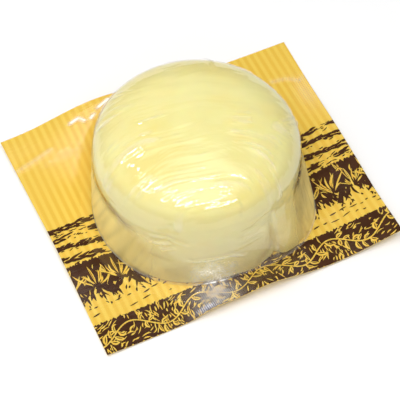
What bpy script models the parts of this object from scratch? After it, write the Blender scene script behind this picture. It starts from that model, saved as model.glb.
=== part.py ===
"""A round of steamed curd cheese, vacuum packed under clear film on a printed sheet.

Units are metres and +Z is up. +X runs along the sheet's long side and +Y points
to its back edge. The origin is on the table, under the middle of the sheet.

Two solids are made: the printed backing sheet, and the sealed cheese, which is
the clear film with the cheese inside it, down to the film's flat margin.
"""
import math

import bmesh
import bpy

MM = 0.001
OBJECT_NAME = "packed_cheese"

# The printed sheet. It is cut a little wider at the back than at the front, and
# the shrinking film pulls the middle of its left edge in.
SHEET_WIDTH = 150.0 * MM
SHEET_DEPTH = 126.0 * MM
SHEET_THICKNESS = 0.4 * MM
SHEET_FLARE = 0.0155
SHEET_WAIST = 0.8 * MM

# The clear film on top of it, which is cut along the same outline.
FILM_THICKNESS = 0.3 * MM
LAYER_GAP = 0.3 * MM

# The cheese under the film: a round with a domed top and soft shoulders.
CHEESE_CENTRE = (0.5 * MM, 3.8 * MM)
CHEESE_RADIUS = 48.5 * MM
CHEESE_WIDEST_AT = 27.8 * MM
CHEESE_HEIGHT = 50.0 * MM
SHOULDER_POWER = 2.3

# The foot, where the film's skirt meets the sheet. Each wave of its outline is
# the number of crests, how far they stand out, and the angle of the first.
FOOT_CENTRE = (1.6 * MM, 0.5 * MM)
FOOT_RADIUS = 54.0 * MM
FOOT_WAVES = (
    (2, 0.4 * MM, math.radians(65)),
    (3, 0.7 * MM, math.radians(-33)),
    (4, 2.0 * MM, math.radians(26)),
    (5, 1.3 * MM, math.radians(24)),
)
SKIRT_HOLLOW = 1.6

# Where the sheet stands off the table: the middle of each swell, how far it
# reaches and how high it would be there. Inside the flat radius it lies flat.
SWELLS = {
    "back edge": (-26.0 * MM, 66.0 * MM, 34.0 * MM, 10.0 * MM),
    "left edge": (-78.0 * MM, -5.0 * MM, 34.0 * MM, 2.6 * MM),
    "front edge": (4.0 * MM, -66.0 * MM, 21.0 * MM, 6.2 * MM),
    "front edge, left of its middle": (-21.0 * MM, -65.0 * MM, 9.0 * MM, 3.6 * MM),
    "right edge": (78.0 * MM, -10.0 * MM, 34.0 * MM, 3.2 * MM),
    "front right corner": (80.0 * MM, -66.0 * MM, 24.0 * MM, 6.0 * MM),
    "back left corner": (-80.0 * MM, 66.0 * MM, 16.0 * MM, 1.6 * MM),
    "front left corner": (-78.0 * MM, -66.0 * MM, 16.0 * MM, 1.0 * MM),
}
FLAT_RADIUS = 49.0 * MM
FLAT_FADE = 14.0 * MM

# How finely the surfaces are divided.
POINTS_ON_LONG_SIDE = 24
POINTS_ON_SHORT_SIDE = 20
DOME_RINGS = 9
SKIRT_RINGS = 6
MARGIN_RINGS = 7


def clear_scene():
    """Removes whatever the scene holds."""
    for item in list(bpy.data.objects):
        bpy.data.objects.remove(item, do_unlink=True)


def mix(start, end, share):
    """The value that lies a share of the way from start to end."""
    return start + (end - start) * share


def smooth_step(value):
    """Eases 0 to 1, flat at both ends."""
    share = min(1.0, max(0.0, value))
    return share * share * (3.0 - 2.0 * share)


def sheet_lift(x, y):
    """How high the underside of the sheet stands off the table at a point."""
    from_foot = math.hypot(x - FOOT_CENTRE[0], y - FOOT_CENTRE[1])
    total = 0.0
    for middle_x, middle_y, reach, height in SWELLS.values():
        distance = math.hypot(x - middle_x, y - middle_y) / reach
        total += height * math.exp(-distance * distance)
    return total * smooth_step((from_foot - FLAT_RADIUS) / FLAT_FADE)


def sheet_point(across, along):
    """A point of the cut sheet, with across and along running from -1 to 1."""
    half_width = SHEET_WIDTH / 2 * (1.0 + SHEET_FLARE * along)
    waist = SHEET_WAIST * (1.0 - along * along) * max(0.0, -across)
    return across * half_width + waist, along * SHEET_DEPTH / 2


def sheet_outline():
    """Points round the sheet's edge from the front left corner, counter-clockwise."""
    outline = []
    for step in range(POINTS_ON_LONG_SIDE):
        outline.append((2.0 * step / POINTS_ON_LONG_SIDE - 1.0, -1.0))
    for step in range(POINTS_ON_SHORT_SIDE):
        outline.append((1.0, 2.0 * step / POINTS_ON_SHORT_SIDE - 1.0))
    for step in range(POINTS_ON_LONG_SIDE):
        outline.append((1.0 - 2.0 * step / POINTS_ON_LONG_SIDE, 1.0))
    for step in range(POINTS_ON_SHORT_SIDE):
        outline.append((-1.0, 1.0 - 2.0 * step / POINTS_ON_SHORT_SIDE))
    return [sheet_point(across, along) for across, along in outline]


def directions():
    """The angle, seen from the foot's centre, of each point round the sheet's edge."""
    return [math.atan2(y - FOOT_CENTRE[1], x - FOOT_CENTRE[0]) for x, y in sheet_outline()]


def foot_radius(angle):
    """The foot's radius in one direction."""
    radius = FOOT_RADIUS
    for crests, height, first in FOOT_WAVES:
        radius += height * math.cos(crests * (angle - first))
    return radius


def flat_ring(radius, base):
    """A ring on the flat middle of the sheet, at a height above its underside."""
    ring = []
    for angle in directions():
        x = FOOT_CENTRE[0] + radius * math.cos(angle)
        y = FOOT_CENTRE[1] + radius * math.sin(angle)
        ring.append((x, y, base + sheet_lift(x, y)))
    return ring


def margin_ring(share, base):
    """A ring of the flat margin, from the foot at 0 to the sheet's edge at 1."""
    ring = []
    for angle, (edge_x, edge_y) in zip(directions(), sheet_outline()):
        radius = foot_radius(angle)
        x = mix(FOOT_CENTRE[0] + radius * math.cos(angle), edge_x, share)
        y = mix(FOOT_CENTRE[1] + radius * math.sin(angle), edge_y, share)
        ring.append((x, y, base + sheet_lift(x, y)))
    return ring


def dome_ring(turn):
    """A ring of the domed top, with turn going from 0 at its middle to 1 where it is widest."""
    slope = turn * math.pi / 2
    radius = CHEESE_RADIUS * math.sin(slope) ** (2.0 / SHOULDER_POWER)
    rise = max(0.0, math.cos(slope)) ** (2.0 / SHOULDER_POWER)
    height = mix(CHEESE_WIDEST_AT, CHEESE_HEIGHT, rise)
    ring = []
    for angle in directions():
        x = CHEESE_CENTRE[0] + radius * math.cos(angle)
        y = CHEESE_CENTRE[1] + radius * math.sin(angle)
        ring.append((x, y, height))
    return ring


def skirt_ring(drop, base):
    """A ring of the film's skirt, from the cheese's widest line at 0 to the foot at 1."""
    flare = drop ** SKIRT_HOLLOW
    ring = []
    for top, foot in zip(dome_ring(1.0), margin_ring(0.0, base)):
        x = mix(top[0], foot[0], flare)
        y = mix(top[1], foot[1], flare)
        ring.append((x, y, mix(top[2], foot[2], drop)))
    return ring


def margin_rings(base):
    """The rings of one face of the margin, from inside the foot out to the edge."""
    rings = [flat_ring(FLAT_RADIUS, base)]
    rings += [margin_ring(step / MARGIN_RINGS, base) for step in range(MARGIN_RINGS + 1)]
    return rings


def grow_ring(mesh, ring, places):
    """Extrudes a closed ring of vertices once, and puts the new ring at its places."""
    edges = [mesh.edges.get(pair) for pair in zip(ring, ring[1:] + ring[:1])]
    made = bmesh.ops.extrude_edge_only(mesh, edges=edges)["geom"]
    new_verts = {item for item in made if isinstance(item, bmesh.types.BMVert)}
    grown = []
    for old, place in zip(ring, places):
        neighbours = [edge.other_vert(old) for edge in old.link_edges]
        vert = next(item for item in neighbours if item in new_verts)
        vert.co = place
        grown.append(vert)
    return grown


def close_ring(mesh, ring, middle_height):
    """Fills a ring with a fan of triangles round one middle vertex."""
    face = mesh.faces.new(ring)
    middle = bmesh.ops.poke(mesh, faces=[face])["verts"][0]
    middle.co.z = middle_height


def lofted_solid(name, rings, top_height, bottom_height, material, collection):
    """Makes a closed solid from rings that run from the top's middle to the bottom's middle."""
    mesh = bmesh.new()
    first = bmesh.ops.create_circle(mesh, cap_ends=False, segments=len(rings[0]), radius=1.0)["verts"]
    first.sort(key=lambda vert: math.atan2(vert.co.y, vert.co.x))
    for vert, place in zip(first, rings[0]):
        vert.co = place
    last = first
    for places in rings[1:]:
        last = grow_ring(mesh, last, places)
    close_ring(mesh, first, top_height)
    close_ring(mesh, last, bottom_height)
    # The same diagonals on both layers keep their gap even.
    bmesh.ops.triangulate(mesh, faces=mesh.faces, quad_method="SHORT_EDGE")
    bmesh.ops.recalc_face_normals(mesh, faces=mesh.faces)
    data = bpy.data.meshes.new(name)
    mesh.to_mesh(data)
    mesh.free()
    data.materials.append(material)
    data.shade_smooth()
    data.set_sharp_from_angle(angle=math.radians(35))
    solid = bpy.data.objects.new(name, data)
    collection.objects.link(solid)
    return solid


def plain_material(name, colour, roughness, alpha=1.0):
    """A Principled material with one colour."""
    material = bpy.data.materials.new(name)
    material.use_nodes = True
    shader = material.node_tree.nodes["Principled BSDF"]
    shader.inputs["Base Color"].default_value = (*colour, 1.0)
    shader.inputs["Roughness"].default_value = roughness
    shader.inputs["Metallic"].default_value = 0.0
    shader.inputs["Alpha"].default_value = alpha
    return material


def make_printed_backing(collection):
    """The printed sheet: flat under the cheese, curling up at its edges."""
    top = margin_rings(SHEET_THICKNESS)
    bottom = margin_rings(0.0)
    material = plain_material("printed_yellow", (0.96, 0.62, 0.14), 0.35)
    rings = top + bottom[::-1]
    return lofted_solid("printed_backing", rings, SHEET_THICKNESS, 0.0, material, collection)


def make_sealed_cheese(collection):
    """The clear film with the cheese in it: dome, skirt and margin in one solid."""
    bottom_base = SHEET_THICKNESS + LAYER_GAP
    top_base = bottom_base + FILM_THICKNESS
    rings = [dome_ring(step / DOME_RINGS) for step in range(1, DOME_RINGS + 1)]
    rings += [skirt_ring(step / SKIRT_RINGS, top_base) for step in range(1, SKIRT_RINGS + 1)]
    rings += margin_rings(top_base)[2:]
    rings += margin_rings(bottom_base)[::-1]
    material = plain_material("cheese_under_film", (0.94, 0.84, 0.38), 0.25)
    return lofted_solid("sealed_cheese", rings, CHEESE_HEIGHT, bottom_base, material, collection)


def main():
    """Builds both solids in a collection of their own."""
    clear_scene()
    collection = bpy.data.collections.new(OBJECT_NAME)
    bpy.context.scene.collection.children.link(collection)
    make_printed_backing(collection)
    make_sealed_cheese(collection)


main()
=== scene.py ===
"""Looks of a round cheese, vacuum packed under clear film on a printed sheet.

The script is laid out as an add-on. Each operator makes one piece round the
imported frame, and main() calls them in order. Units are metres and +Z is up.
"""
import contextlib
import math
import random

import bpy
import numpy as np
from bpy.props import FloatProperty, FloatVectorProperty, IntProperty, PointerProperty
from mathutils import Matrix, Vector, noise


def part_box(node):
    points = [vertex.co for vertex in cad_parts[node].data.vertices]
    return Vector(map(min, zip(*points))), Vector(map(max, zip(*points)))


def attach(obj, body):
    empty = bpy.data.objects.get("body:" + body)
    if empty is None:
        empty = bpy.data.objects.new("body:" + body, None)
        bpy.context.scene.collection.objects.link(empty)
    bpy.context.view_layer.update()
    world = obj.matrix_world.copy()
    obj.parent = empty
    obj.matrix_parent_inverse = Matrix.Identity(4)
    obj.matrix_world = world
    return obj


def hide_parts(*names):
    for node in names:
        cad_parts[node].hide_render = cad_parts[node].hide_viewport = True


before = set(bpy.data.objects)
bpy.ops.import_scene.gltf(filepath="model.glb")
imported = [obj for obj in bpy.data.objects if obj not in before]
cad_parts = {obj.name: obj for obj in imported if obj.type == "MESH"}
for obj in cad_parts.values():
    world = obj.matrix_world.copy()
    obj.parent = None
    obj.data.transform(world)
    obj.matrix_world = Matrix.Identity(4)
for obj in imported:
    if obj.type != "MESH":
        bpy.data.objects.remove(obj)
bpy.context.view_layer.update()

bl_info = {
    "name": "Packed Round Cheese",
    "version": (1, 0, 0),
    "blender": (4, 5, 0),
    "location": "View3D > Sidebar > Packed Cheese",
    "description": "Makes a round cheese under clear film on a printed sheet",
    "category": "Add Mesh",
}

MM = 0.001
SHEET_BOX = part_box("printed_backing")
PACK_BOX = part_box("sealed_cheese")

# The sheet's cut, as in the frame: wider at the back, with a waisted left edge.
SHEET_DEPTH = SHEET_BOX[1][1] - SHEET_BOX[0][1]
SHEET_FLARE = 0.0155
SHEET_WIDTH = (SHEET_BOX[1][0] - SHEET_BOX[0][0]) / (1.0 + SHEET_FLARE)
SHEET_WAIST = 0.8 * MM
SHEET_THICKNESS = 0.4 * MM
SHEET_RIM = 0.1 * MM

# The round under the film, as in the frame.
CHEESE_CENTRE = (0.5 * MM, 3.8 * MM)
ROUND_RADIUS = 48.5 * MM
ROUND_WIDEST_AT = 27.8 * MM
ROUND_HEIGHT = PACK_BOX[1][2]
SHOULDER_POWER = 2.3

# The foot, where the film's skirt meets the sheet: crests, height, first angle.
FOOT_CENTRE = (1.6 * MM, 0.5 * MM)
FOOT_RADIUS = 54.0 * MM
FOOT_WAVES = (
    (2, 0.4 * MM, math.radians(65)),
    (3, 0.7 * MM, math.radians(-33)),
    (4, 2.0 * MM, math.radians(26)),
    (5, 1.3 * MM, math.radians(24)),
)
SKIRT_HOLLOW = 1.6

# Where the sheet stands off the table: middle x and y, reach and height.
SWELLS = (
    (-26.0 * MM, 66.0 * MM, 34.0 * MM, 10.0 * MM),
    (-78.0 * MM, -5.0 * MM, 34.0 * MM, 2.6 * MM),
    (4.0 * MM, -66.0 * MM, 21.0 * MM, 6.2 * MM),
    (-21.0 * MM, -65.0 * MM, 9.0 * MM, 3.6 * MM),
    (78.0 * MM, -10.0 * MM, 34.0 * MM, 3.2 * MM),
    (80.0 * MM, -66.0 * MM, 24.0 * MM, 6.0 * MM),
    (-80.0 * MM, 66.0 * MM, 16.0 * MM, 1.6 * MM),
    (-78.0 * MM, -66.0 * MM, 16.0 * MM, 1.0 * MM),
)
FLAT_RADIUS = 49.0 * MM
FLAT_FADE = 14.0 * MM

# Shares of a turn round the sheet's edge taken by a long and by a short side.
LONG_SHARE = 6.0 / 22.0
SHORT_SHARE = 5.0 / 22.0

# The way the pack's front faces, toward the camera. The wrinkles of the dome are
# flattened arches round a point of its front shoulder.
FRONT_HEADING = math.radians(-115)
WRINKLE_CENTRE = (-16.0 * MM, -37.0 * MM)
ARCH_TURN = math.radians(-13)
ARCH_FLAT = 20.0 * MM

# More wrinkles fit round a wider arch, so that all of them stay about equally long.
ARC_START = 10 * MM
ARC_FULL = 30 * MM

# The set of ridges the wrinkles are made of: share, how many of them round an arch, and width.
RIDGES = ((0.55, 1.0, 2.7 * MM), (0.36, 1.5, 1.6 * MM), (0.09, 2.0, 1.0 * MM))


# ---------------------------------------------------------------- shape rules


def mix(start, end, share):
    """The value that lies a share of the way from start to end."""
    return start + (end - start) * share


def between(start, end, share):
    """The point in plan that lies a share of the way from one to another."""
    return tuple(mix(first, last, share) for first, last in zip(start, end))


def smooth_step(low, high, value):
    """Eases from 0 at low to 1 at high."""
    share = np.clip((value - low) / (high - low), 0.0, 1.0)
    return share * share * (3.0 - 2.0 * share)


def bell(value, middle, reach):
    """A soft bump of height 1."""
    return np.exp(-(((value - middle) / reach) ** 2))


def angle_gap(angle, middle):
    """The signed turn from one direction to another, in radians."""
    return (angle - middle + math.pi) % (2 * math.pi) - math.pi


def distance_from(centre, x, y):
    """How far points lie from a centre, seen from above."""
    return np.hypot(x - centre[0], y - centre[1])


def direction_from(centre, x, y):
    """The way from a centre to points, seen from above, in radians."""
    return np.arctan2(y - centre[1], x - centre[0])


def sheet_lift(x, y):
    """How high the underside of the sheet stands off the table."""
    total = np.zeros_like(x)
    for middle_x, middle_y, reach, height in SWELLS:
        total = total + height * bell(distance_from((middle_x, middle_y), x, y), 0.0, reach)
    from_foot = distance_from(FOOT_CENTRE, x, y)
    return total * smooth_step(FLAT_RADIUS, FLAT_RADIUS + FLAT_FADE, from_foot)


def sheet_point(across, along):
    """A point of the cut sheet, with across and along running from -1 to 1."""
    half_width = SHEET_WIDTH / 2 * (1.0 + SHEET_FLARE * along)
    waist = SHEET_WAIST * (1.0 - along * along) * np.maximum(0.0, -across)
    return across * half_width + waist, along * SHEET_DEPTH / 2


def edge_point(turn):
    """The point of the sheet's edge at a share of a turn, from the front left corner."""
    stops = np.cumsum([0.0, LONG_SHARE, SHORT_SHARE, LONG_SHARE, SHORT_SHARE])
    across = np.interp(turn, stops, [-1.0, 1.0, 1.0, -1.0, -1.0])
    along = np.interp(turn, stops, [-1.0, -1.0, 1.0, 1.0, -1.0])
    return sheet_point(across, along)


def foot_radius(angle):
    """The foot's radius in a direction seen from its centre."""
    radius = FOOT_RADIUS
    for crests, height, first in FOOT_WAVES:
        radius = radius + height * np.cos(crests * (angle - first))
    return radius


def foot_point(angle):
    """The foot's point in a direction seen from its centre."""
    radius = foot_radius(angle)
    return FOOT_CENTRE[0] + radius * np.cos(angle), FOOT_CENTRE[1] + radius * np.sin(angle)


def noise_at(points, octaves=1):
    """Smooth noise from -1 to 1 at each row of an array of points."""
    flat = points.reshape(-1, 3)
    if octaves == 1:
        values = [noise.noise(Vector(point)) for point in flat]
    else:
        values = [noise.fractal(Vector(point), 1.0, 2.0, octaves) for point in flat]
    return np.array(values).reshape(points.shape[:-1])


def noise_round(angle, turns, height, reach):
    """Smooth noise on a wall round the pack: finer with more turns, drawn out upward by its reach."""
    places = np.broadcast_arrays(np.cos(angle) * turns, np.sin(angle) * turns, height / reach)
    return noise_at(np.stack(places, axis=-1))


def sharp_crests(values):
    """Turns soft noise into narrow crests between wide troughs."""
    return (1.0 - np.minimum(1.0, np.abs(values) * 2.6)) ** 1.3


def arcs(turn, radius, number, width, seed):
    """Long ridges that run round the wrinkle centre, from 0 to 1: the greater the number, the shorter."""
    spread = number * (radius + ARC_START) / ARC_FULL
    places = np.stack([np.cos(turn) * spread, np.sin(turn) * spread, radius / width + seed], axis=-1)
    return np.clip(0.5 + 0.9 * noise_at(places), 0.0, 1.0)


def cloud(x, y, size, seed):
    """Soft noise over the plan, from -1 to 1."""
    return noise_at(np.stack([x / size, y / size, np.full_like(x, seed)], axis=-1))


def wrinkle_field(x, y):
    """Wrinkles pressed between film and curd on the dome: 0 in the troughs, 1 on the crests."""
    out_x = x - WRINKLE_CENTRE[0]
    out_y = y - WRINKLE_CENTRE[1]
    across = out_x * math.cos(ARCH_TURN) + out_y * math.sin(ARCH_TURN)
    back = out_y * math.cos(ARCH_TURN) - out_x * math.sin(ARCH_TURN)
    flattened = across * np.abs(across) / (np.abs(across) + ARCH_FLAT)
    radius = np.hypot(flattened, back)
    turn = np.arctan2(back, flattened)
    wavy = radius + 4.0 * MM * cloud(x, y, 26 * MM, 2.2) + 0.5 * MM * cloud(x, y, 8 * MM, 5.7)
    crests = 0.0
    for share, number, width in RIDGES:
        crests = crests + share * arcs(turn, wavy, number, width, number * 20.0)
    patches = smooth_step(-0.4, 0.3, cloud(x, y, 13 * MM, 9.1))
    away = smooth_step(0.0, 3 * MM, distance_from(WRINKLE_CENTRE, x, y))
    return crests * mix(0.35, 1.0, patches) * away * off_the_back(x, y)


def off_the_back(x, y):
    """How strong the wrinkles are: full on the front and the sides, weak at the back and in the middle."""
    facing = np.cos(direction_from(CHEESE_CENTRE, x, y) - FRONT_HEADING)
    middle = smooth_step(2 * MM, 20 * MM, distance_from(CHEESE_CENTRE, x, y))
    forward = np.maximum(1.0 - middle, smooth_step(-0.8, 0.0, facing))
    return mix(0.3, 1.0, middle) * mix(0.3, 1.0, forward)


# ---------------------------------------------------------------- mesh helpers


# Points closer than this are merged, and edges sharper than this angle stay sharp.
SEAM_GAP = 0.002 * MM
SHARP_ANGLE = math.radians(60)


def deselect_all():
    """Leaves object mode with nothing selected."""
    if bpy.context.object and bpy.context.object.mode != "OBJECT":
        bpy.ops.object.mode_set(mode="OBJECT")
    bpy.ops.object.select_all(action="DESELECT")


def new_grid(name, columns, rows):
    """Adds a flat grid and gives the share across and along of each of its vertices."""
    deselect_all()
    bpy.ops.mesh.primitive_grid_add(x_subdivisions=columns, y_subdivisions=rows, size=1.0)
    piece = bpy.context.active_object
    piece.name = name
    piece.data.name = name
    shares = get_points(piece) + 0.5
    return piece, np.round(shares[:, 0] * columns) / columns, np.round(shares[:, 1] * rows) / rows


def get_points(piece):
    """The piece's vertices as an array."""
    points = np.empty(len(piece.data.vertices) * 3)
    piece.data.vertices.foreach_get("co", points)
    return points.reshape(-1, 3)


def set_points(piece, x, y, z):
    """Moves the piece's vertices."""
    piece.data.vertices.foreach_set("co", np.stack([x, y, z], axis=-1).ravel())
    piece.data.update()


def select_only(piece):
    """Makes a piece the active one and the only one selected."""
    deselect_all()
    piece.select_set(True)
    bpy.context.view_layer.objects.active = piece


@contextlib.contextmanager
def whole_in_edit_mode(piece):
    """Edit mode, with the whole of a piece selected."""
    select_only(piece)
    bpy.ops.object.mode_set(mode="EDIT")
    bpy.ops.mesh.select_all(action="SELECT")
    yield
    bpy.ops.object.mode_set(mode="OBJECT")


def close_up(piece):
    """Merges the seam and the poles of a wrapped grid and turns its faces outward."""
    with whole_in_edit_mode(piece):
        bpy.ops.mesh.remove_doubles(threshold=SEAM_GAP)
        bpy.ops.mesh.normals_make_consistent(inside=False)


def face_upward(piece):
    """Turns an open sheet's faces so that they look up."""
    normals = np.empty(len(piece.data.polygons) * 3)
    piece.data.polygons.foreach_get("normal", normals)
    if normals.reshape(-1, 3)[:, 2].sum() < 0:
        with whole_in_edit_mode(piece):
            bpy.ops.mesh.flip_normals()


def thicken(piece, thickness):
    """Gives an open surface its thickness downward, with Solidify, applied."""
    select_only(piece)
    modifier = piece.modifiers.new("Thickness", "SOLIDIFY")
    modifier.thickness = thickness
    modifier.offset = -1.0
    bpy.ops.object.modifier_apply(modifier=modifier.name)


def take_apart(piece):
    """A piece's points and faces. The piece itself is removed."""
    points = get_points(piece)
    faces = np.array([list(face.vertices) for face in piece.data.polygons])
    bpy.data.objects.remove(piece, do_unlink=True)
    return points, faces


def finish_piece(piece, material, replaced=()):
    """Gives a piece its shading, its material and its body."""
    select_only(piece)
    bpy.ops.object.shade_smooth_by_angle(angle=SHARP_ANGLE)
    piece.data.materials.clear()
    piece.data.materials.append(material)
    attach(piece, "root")
    if replaced:
        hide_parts(*replaced)


# ------------------------------------------------------------- material helpers


class Nodes:
    """A short way to add nodes to one node tree and to link them."""

    def __init__(self, tree):
        self.tree = tree

    def add(self, kind, **inputs):
        """Adds a node. A value that is a socket is linked, and any other is set."""
        node = self.tree.nodes.new(kind)
        for name, value in inputs.items():
            self.put(node.inputs[name.replace("_", " ")], value)
        return node

    def put(self, socket, value):
        """Links a socket to a socket or sets its value."""
        if isinstance(value, bpy.types.NodeSocket):
            self.tree.links.new(value, socket)
        else:
            socket.default_value = value

    def math(self, operation, first, second=0.0):
        """A Math node's result."""
        node = self.tree.nodes.new("ShaderNodeMath")
        node.operation = operation
        self.put(node.inputs[0], first)
        self.put(node.inputs[1], second)
        return node.outputs[0]

    def times(self, first, second):
        """Two values multiplied."""
        return self.math("MULTIPLY", first, second)

    def plus(self, first, second):
        """Two values added."""
        return self.math("ADD", first, second)

    def minus(self, first, second):
        """One value less another."""
        return self.math("SUBTRACT", first, second)

    def over(self, first, second):
        """One value divided by another."""
        return self.math("DIVIDE", first, second)

    def axes(self, vector):
        """A vector's X, Y and Z."""
        return self.add("ShaderNodeSeparateXYZ", Vector=vector).outputs

    def ramp(self, value, low, high, start=0.0, end=1.0):
        """A value smoothly mapped from low..high to start..end."""
        node = self.tree.nodes.new("ShaderNodeMapRange")
        node.interpolation_type = "SMOOTHSTEP"
        for name, number in (("From Min", low), ("From Max", high), ("To Min", start), ("To Max", end)):
            node.inputs[name].default_value = number
        self.put(node.inputs["Value"], value)
        return node.outputs["Result"]

    def blend(self, share, first, second):
        """One colour blended into another."""
        node = self.tree.nodes.new("ShaderNodeMix")
        node.data_type = "RGBA"
        self.put(node.inputs["Factor"], share)
        self.put(node.inputs["A"], first)
        self.put(node.inputs["B"], second)
        return node.outputs["Result"]

    def noise(self, vector, scale, detail=2.0):
        """A Noise texture's value."""
        return self.add("ShaderNodeTexNoise", Vector=vector, Scale=scale, Detail=detail).outputs["Fac"]

    def bands(self, vector, pitch, distortion=0.0):
        """A Wave texture's value: soft bands across X, one to each pitch."""
        scale = math.pi / 10.0 / pitch
        waves = self.add("ShaderNodeTexWave", Vector=vector, Scale=scale, Distortion=distortion)
        return waves.outputs["Fac"]

    def attribute(self, name):
        """A value stored on the mesh."""
        node = self.add("ShaderNodeAttribute")
        node.attribute_name = name
        return node.outputs["Fac"]

    def place(self):
        """The place on the piece, in metres."""
        return self.add("ShaderNodeTexCoord").outputs["Object"]

    def stretched(self, vector, scale, turn=0.0):
        """Coordinates turned about Z and then scaled."""
        mapped = self.add("ShaderNodeMapping", Vector=vector, Rotation=(0.0, 0.0, turn), Scale=scale)
        return mapped.outputs["Vector"]

    def bump(self, height, strength, distance):
        """The normal of a surface with a relief."""
        relief = self.add("ShaderNodeBump", Height=height, Strength=strength, Distance=distance)
        return relief.outputs["Normal"]

    def group(self, name, **inputs):
        """The result of one of the node groups below."""
        node = self.tree.nodes.new("ShaderNodeGroup")
        node.node_tree = node_group(name)
        for label, value in inputs.items():
            self.put(node.inputs[label.replace("_", " ")], value)
        return node.outputs[0]

    def principled(self, **inputs):
        """A Principled shader."""
        return self.add("ShaderNodeBsdfPrincipled", **inputs).outputs["BSDF"]

    def mixed(self, share, first, second):
        """One shader blended into another."""
        node = self.tree.nodes.new("ShaderNodeMixShader")
        for socket, value in zip(node.inputs, (share, first, second)):
            self.put(socket, value)
        return node.outputs["Shader"]

    def show(self, shader, kind="Material"):
        """Puts a shader on the surface of the material, or of the world."""
        self.add("ShaderNodeOutput" + kind, Surface=shader)


def new_material(name):
    """An empty material and its node helper."""
    material = bpy.data.materials.new(name)
    material.use_nodes = True
    material.node_tree.nodes.clear()
    return material, Nodes(material.node_tree)


def node_group(name):
    """One of the shader node groups, with named sockets. It is made when first asked for."""
    if name in bpy.data.node_groups:
        return bpy.data.node_groups[name]
    fill, result, result_kind, inputs = GROUPS[name]
    tree = bpy.data.node_groups.new(name, "ShaderNodeTree")
    for label, kind, value in (("Vector", "Vector", None), *inputs):
        socket = tree.interface.new_socket(name=label, in_out="INPUT", socket_type="NodeSocket" + kind)
        if value is not None:
            socket.default_value = value
    tree.interface.new_socket(name=result, in_out="OUTPUT", socket_type="NodeSocket" + result_kind)
    given = tree.nodes.new("NodeGroupInput").outputs
    end = tree.nodes.new("NodeGroupOutput").inputs
    nodes = Nodes(tree)
    nodes.put(end[0], fill(nodes, given))
    return tree


def linear(colour):
    """A colour property as a node socket takes it."""
    return (colour[0], colour[1], colour[2], 1.0)


def fill_tone(nodes, given):
    """A colour that drifts lighter and darker in soft clouds."""
    clouds = nodes.noise(given["Vector"], given["Scale"], 3.0)
    share = nodes.times(nodes.ramp(clouds, 0.35, 0.65), given["Strength"])
    return nodes.blend(share, given["Colour"], given["Other Colour"])


def fill_crinkle(nodes, given):
    """Fine crinkle relief of stretched film: two sets of long thin waves."""
    total = 0.0
    for turn, scale, share in ((25.0, (90.0, 620.0, 300.0), 0.6), (-38.0, (120.0, 480.0, 260.0), 0.4)):
        vector = nodes.stretched(given["Vector"], scale, math.radians(turn))
        total = nodes.plus(nodes.times(nodes.noise(vector, given["Fineness"]), share), total)
    return total


def fill_strain(nodes, given):
    """Fine sharp wrinkles that run round the wrinkle centre, as film pulled over a dome has."""
    drift = nodes.minus(nodes.noise(given["Vector"], 60.0, 1.0), 0.5)
    parts = nodes.axes(given["Vector"])
    out_x = nodes.minus(parts["X"], WRINKLE_CENTRE[0])
    out_y = nodes.minus(parts["Y"], WRINKLE_CENTRE[1])
    squares = nodes.plus(nodes.times(out_x, out_x), nodes.times(out_y, out_y))
    radius = nodes.math("MAXIMUM", nodes.math("SQRT", squares), 1.0 * MM)
    wavy = nodes.plus(radius, nodes.times(drift, 6.0 * MM))
    spread = nodes.times(given["Number"], nodes.over(nodes.plus(radius, ARC_START), ARC_FULL))
    place = nodes.add(
        "ShaderNodeCombineXYZ",
        X=nodes.times(nodes.over(out_x, radius), spread),
        Y=nodes.times(nodes.over(out_y, radius), spread),
        Z=nodes.over(wavy, given["Width"]),
    ).outputs["Vector"]
    patches = nodes.ramp(nodes.noise(given["Vector"], 110.0, 1.0), 0.38, 0.58, 0.3, 1.0)
    return nodes.times(nodes.noise(place, 1.0, 0.0), patches)


def fill_knurl(nodes, given):
    """Diamond relief that the sealing jaws press into the margin."""
    parts = nodes.axes(given["Vector"])
    waves = []
    for operation in ("ADD", "SUBTRACT"):
        slanted = nodes.math(operation, parts["X"], parts["Y"])
        turns = nodes.over(slanted, given["Pitch"])
        waves.append(nodes.math("SINE", nodes.times(turns, math.pi)))
    return nodes.times(*waves)


# The node groups by name: what fills each, its result, and its inputs besides Vector.
GROUPS = {
    "Uneven tone": (fill_tone, "Colour", "Color", (
        ("Scale", "Float", 60.0), ("Colour", "Color", None), ("Other Colour", "Color", None),
        ("Strength", "Float", 0.5),
    )),
    "Film crinkle": (fill_crinkle, "Height", "Float", (("Fineness", "Float", 1.0),)),
    "Strain wrinkles": (fill_strain, "Height", "Float", (
        ("Width", "Float", 1.4 * MM), ("Number", "Float", 3.0),
    )),
    "Seal knurl": (fill_knurl, "Height", "Float", (("Pitch", "Float", 1.1 * MM),)),
}


# -------------------------------------------------------------------- settings


def length_setting(name, default, description):
    """A setting in metres."""
    return FloatProperty(name=name, description=description, default=default, unit="LENGTH")


def angle_setting(name, degrees, description):
    """A setting that is an angle."""
    return FloatProperty(name=name, description=description, default=math.radians(degrees), subtype="ANGLE")


def colour_setting(name, default, description):
    """A setting that is a colour."""
    return FloatVectorProperty(name=name, description=description, default=default, subtype="COLOR")


def plain_setting(name, default, description):
    """A setting without a unit."""
    return FloatProperty(name=name, description=description, default=default)


class SheetSettings(bpy.types.PropertyGroup):
    """Sizes and colours of the backing sheet and its print."""

    stripe_pitch: length_setting("Stripe pitch", 3.7 * MM, "Distance between two stripes")
    light_yellow: colour_setting("Light yellow", (0.94, 0.67, 0.12), "Colour of the light stripes")
    golden_yellow: colour_setting("Golden yellow", (0.88, 0.565, 0.075), "Colour of the golden stripes")
    ink: colour_setting("Ink", (0.062, 0.022, 0.007), "Colour of the dark print")
    seed: IntProperty(name="Seed", description="Starts the print's small irregularities", default=11)


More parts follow.
